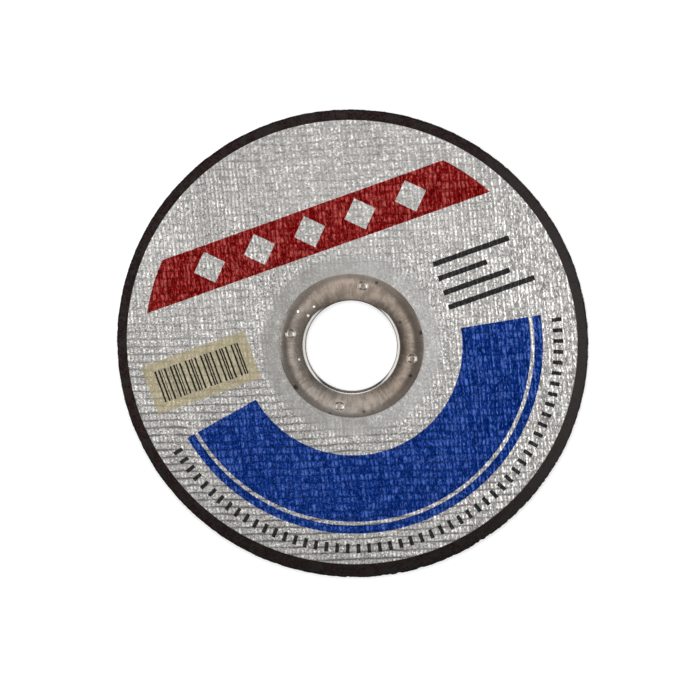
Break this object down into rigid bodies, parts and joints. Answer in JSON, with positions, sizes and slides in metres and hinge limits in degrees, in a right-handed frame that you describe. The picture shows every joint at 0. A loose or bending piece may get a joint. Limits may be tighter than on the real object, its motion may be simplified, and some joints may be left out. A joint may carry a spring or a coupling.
{
  "type": "cut-off wheel",
  "caption": "Thin flat abrasive cut-off wheel for an angle grinder, with woven glass reinforcement, a printed front label and a domed steel ring in the bore.",
  "frame": {"origin": "on the axis of the bore, at the rear face that the wheel lies on", "axes": "+Z along the bore axis, out of the label; +Y towards the top of the label as pictured; +X to its right"},
  "size_m": [0.115, 0.115, 0.0016],
  "materials": {
    "abrasive": "rough bonded grain, brown-black",
    "front_mesh": "resin-coated glass mesh",
    "rear_mesh": "glass mesh filled with dark resin and grain",
    "label": "silver-grey printed paper with the weave pressed through",
    "ring_steel": "dull worn sheet steel with dark specks"
  },
  "bodies": {
    "root": {"abrasive_body": "abrasive", "front_mesh": "front_mesh", "rear_mesh": "rear_mesh", "label": "label", "centre_ring": "ring_steel"}
  },
  "joints": []
}
